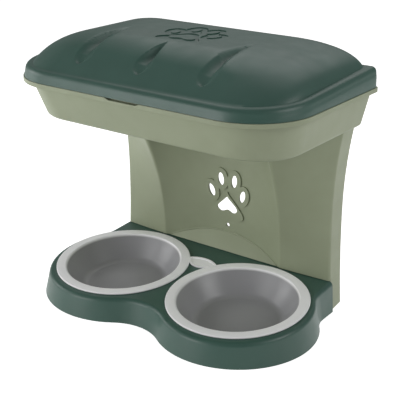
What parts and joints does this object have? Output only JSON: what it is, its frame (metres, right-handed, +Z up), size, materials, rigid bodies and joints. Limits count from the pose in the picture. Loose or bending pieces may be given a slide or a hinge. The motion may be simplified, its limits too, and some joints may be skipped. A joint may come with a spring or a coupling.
{
  "type": "elevated dog feeder",
  "caption": "Two-bowl pet feeder: low lobed tray with a lift-out twin bowl, hollow column behind it, and a raised food store with a hinged domed lid.",
  "frame": {"origin": "on the floor, under the middle of the whole feeder's bounding box", "axes": "+X to the feeder's left-to-right as seen from the front, -Y towards the front where the bowls are, +Z up"},
  "size_m": [0.4752, 0.2804, 0.4113],
  "materials": {
    "dark_green": "satin moulded",
    "sage_green": "satin moulded",
    "bowl_grey": "semi gloss",
    "steel": "satin",
    "rubber": "matt"
  },
  "bodies": {
    "stand": {"column": "sage_green", "bowl_tray": "dark_green", "storage_tub": "sage_green", "hinge_pins": "steel", "tub_screws": "steel", "tray_screws": "steel", "tray_feet": "rubber", "column_feet": "rubber"},
    "lid": {"lid": "dark_green"},
    "bowls": {"twin_bowl": "bowl_grey"}
  },
  "joints": [
    {"name": "lid_hinge", "type": "hinge", "parent": "stand", "child": "lid", "pos_m": [0, 0.13025, 0.36936], "axis": [-1, 0, 0], "range_deg": [0, 95]},
    {"name": "bowls_lift", "type": "slide", "parent": "stand", "child": "bowls", "axis": [0, -0.0663, 0.9978], "range_m": [0, 0.06]}
  ]
}
